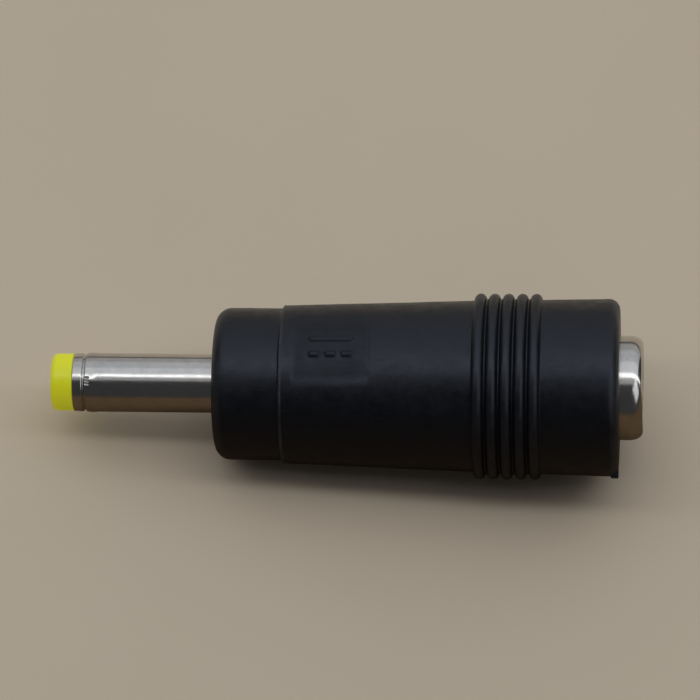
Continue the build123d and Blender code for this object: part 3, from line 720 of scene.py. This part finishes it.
# size and place of the painted shade sheet, in metres on the stage
SHADE_SHEET_SIDE, SHADE_SHEET_FRONT, SHADE_SHEET_BEHIND, SHADE_SHEET_LIFT = 0.50, -0.60, 0.002, 0.0002

# Softboxes in an arc over the adapter's axis: name, first and last elevation in degrees (0 is the camera's
# side, 90 overhead, 180 behind), length in metres, radiance, colour.
SOFTBOXES = (
    ("front", 66, 81, 1.1, 0.34, (0.96, 0.97, 1.0)),
    ("strip", 81, 90, 5.0, 2.10, (0.96, 0.98, 1.0)),
    ("top", 90, 118, 1.1, 0.70, (0.90, 0.95, 1.0)),
    ("back", 118, 148, 1.1, 0.52, (0.90, 0.95, 1.0)),
    ("far", 148, 172, 1.1, 0.34, (0.98, 0.98, 0.97)),
)


def area_light(name, length, width, radiance, colour, toward, turn):
    """A rectangular light of even radiance that stands off in one direction and faces the adapter."""
    data = bpy.data.lights.new(name, "AREA")
    data.shape = "RECTANGLE"
    data.size, data.size_y = length, width
    data.energy = radiance * pi * length * width
    data.color = colour
    lamp = place(name, data)
    lamp.location = stage_centre + toward * LIGHT_DISTANCE
    lamp.rotation_mode = "QUATERNION"
    lamp.rotation_quaternion = turn
    lamp.visible_camera = False
    return lamp


def softbox(name, first, last, length, radiance, colour):
    """A long light, parallel to the adapter, that fills the given span of elevation."""
    middle, half = radians((first + last) / 2), radians((last - first) / 2)
    width = 2 * LIGHT_DISTANCE * sin(half) / cos(half)
    toward = stage_turn @ Vector((0, -cos(middle), sin(middle)))
    turn = Matrix((along_floor, toward.cross(along_floor), toward)).transposed().to_quaternion()
    area_light(name, length, width, radiance, colour, toward, turn)


def end_light():
    """A softbox past the jack's end, seen only in glossy surfaces. It draws the light down the lip."""
    aside, height = radians(END_ASIDE), radians(END_ELEVATION)
    toward = stage_turn @ Vector((sin(aside), -cos(aside) * cos(height), cos(aside) * sin(height)))
    lamp = area_light("end", END_WIDTH, END_HEIGHT, END_RADIANCE, (0.96, 0.98, 1.0), toward,
                      toward.to_track_quat("Z", "Y"))
    lamp.visible_diffuse = False


def painted_shade_sheet():
    """Painted shade: a brown sheet on the floor in front of the adapter, seen only in glossy reflections,
    standing in for shaded floor. It keeps the pale floor out of the reflections in its lower half.
    """
    made = Material("shade_sheet_paint")
    # painted shade: the sheet's dark brown is the shaded floor as the adapter's lower half reflects it
    made.link(made.mix(made.noise(2, detail=4), (0.205, 0.130, 0.072), (0.240, 0.155, 0.090)),
              made.shader.inputs["Base Color"])
    made.bumps((made.noise(0.4, detail=3), 0.05))
    made.set(Roughness=1.0, Specular_IOR_Level=0.0)
    shade_sheet = sheet("shade_sheet", SHADE_SHEET_SIDE, SHADE_SHEET_FRONT, SHADE_SHEET_BEHIND, SHADE_SHEET_LIFT, made.material)
    shade_sheet.visible_camera = False
    shade_sheet.visible_shadow = False
    shade_sheet.visible_diffuse = False


def light_stage():
    for box in SOFTBOXES:
        softbox(*box)
    end_light()
    painted_shade_sheet()
    world = bpy.data.worlds.new("studio")
    world.use_nodes = True
    background = next(n for n in world.node_tree.nodes if n.type == "BACKGROUND")
    background.inputs["Color"].default_value = (0.95, 0.97, 1.0, 1)
    background.inputs["Strength"].default_value = 0.045
    bpy.context.scene.world = world


CAMERA_SIDE = 3.85           # degrees that the jack's end is turned towards the camera
CAMERA_HEIGHT = 61.0         # degrees of the camera above the adapter's own level
AXIS_SLOPE = 0.58            # degrees that the axis falls to the right in the picture
CAMERA_DISTANCE = 0.36
VIEW_WIDTH = 47.68 * MM      # what the picture spans at the adapter's axis
VIEW_CENTRE_X = 9.12 * MM
AXIS_BELOW_CENTRE = 2.38 * MM


def place_camera():
    """The photograph's viewing angle and framing."""
    side, height, slope = radians(CAMERA_SIDE), radians(CAMERA_HEIGHT), radians(AXIS_SLOPE)
    back = Vector((sin(side), -cos(side) * cos(height), cos(side) * sin(height)))
    level = (Vector((1, 0, 0)) - back * back.x).normalized()
    above = back.cross(level)
    right = cos(slope) * level + sin(slope) * above
    top = cos(slope) * above - sin(slope) * level
    data = bpy.data.cameras.new("camera")
    data.sensor_width = 36.0
    data.lens = data.sensor_width * CAMERA_DISTANCE / VIEW_WIDTH
    data.clip_start, data.clip_end = 0.01, 10.0
    camera = place("camera", data)
    target = Vector((VIEW_CENTRE_X, 0, 0)) + top * AXIS_BELOW_CENTRE
    camera.location = target + back * CAMERA_DISTANCE
    camera.rotation_mode = "QUATERNION"
    camera.rotation_quaternion = Matrix((right, top, back)).transposed().to_quaternion()
    bpy.context.scene.camera = camera


# ---------------------------------------------------------------- put together

def dress(name, profile, angles, relief, node, slot, materials):
    """Turns one piece and puts it in place of its CAD node."""
    piece = outward(lathe(name, profile, angles, relief))
    piece.data.materials.append(materials[slot])
    return settle(piece, node)


def build():
    materials = paint_slots()
    paint_cad_nodes(materials)
    dress("grip_moulding", grip_profile(), grip_angles(), grip_relief, "outer_body", "grip_black", materials)
    gate_stub(materials["grip_black"])
    dress("plug_sleeve", sleeve_profile(), sleeve_angles(), sleeve_relief, "plug_barrel", "nickel_barrel",
          materials)
    dress("plug_tip", tip_profile(), even_angles(120), tip_relief, "plug_tip_insulator", "tip_yellow",
          materials)
    dress("jack_collar", shell_profile(), even_angles(160), None, "jack_shell", "nickel_shell", materials)


build()
lay_floor()
light_stage()
place_camera()
bpy.context.scene.view_settings.view_transform = "Standard"
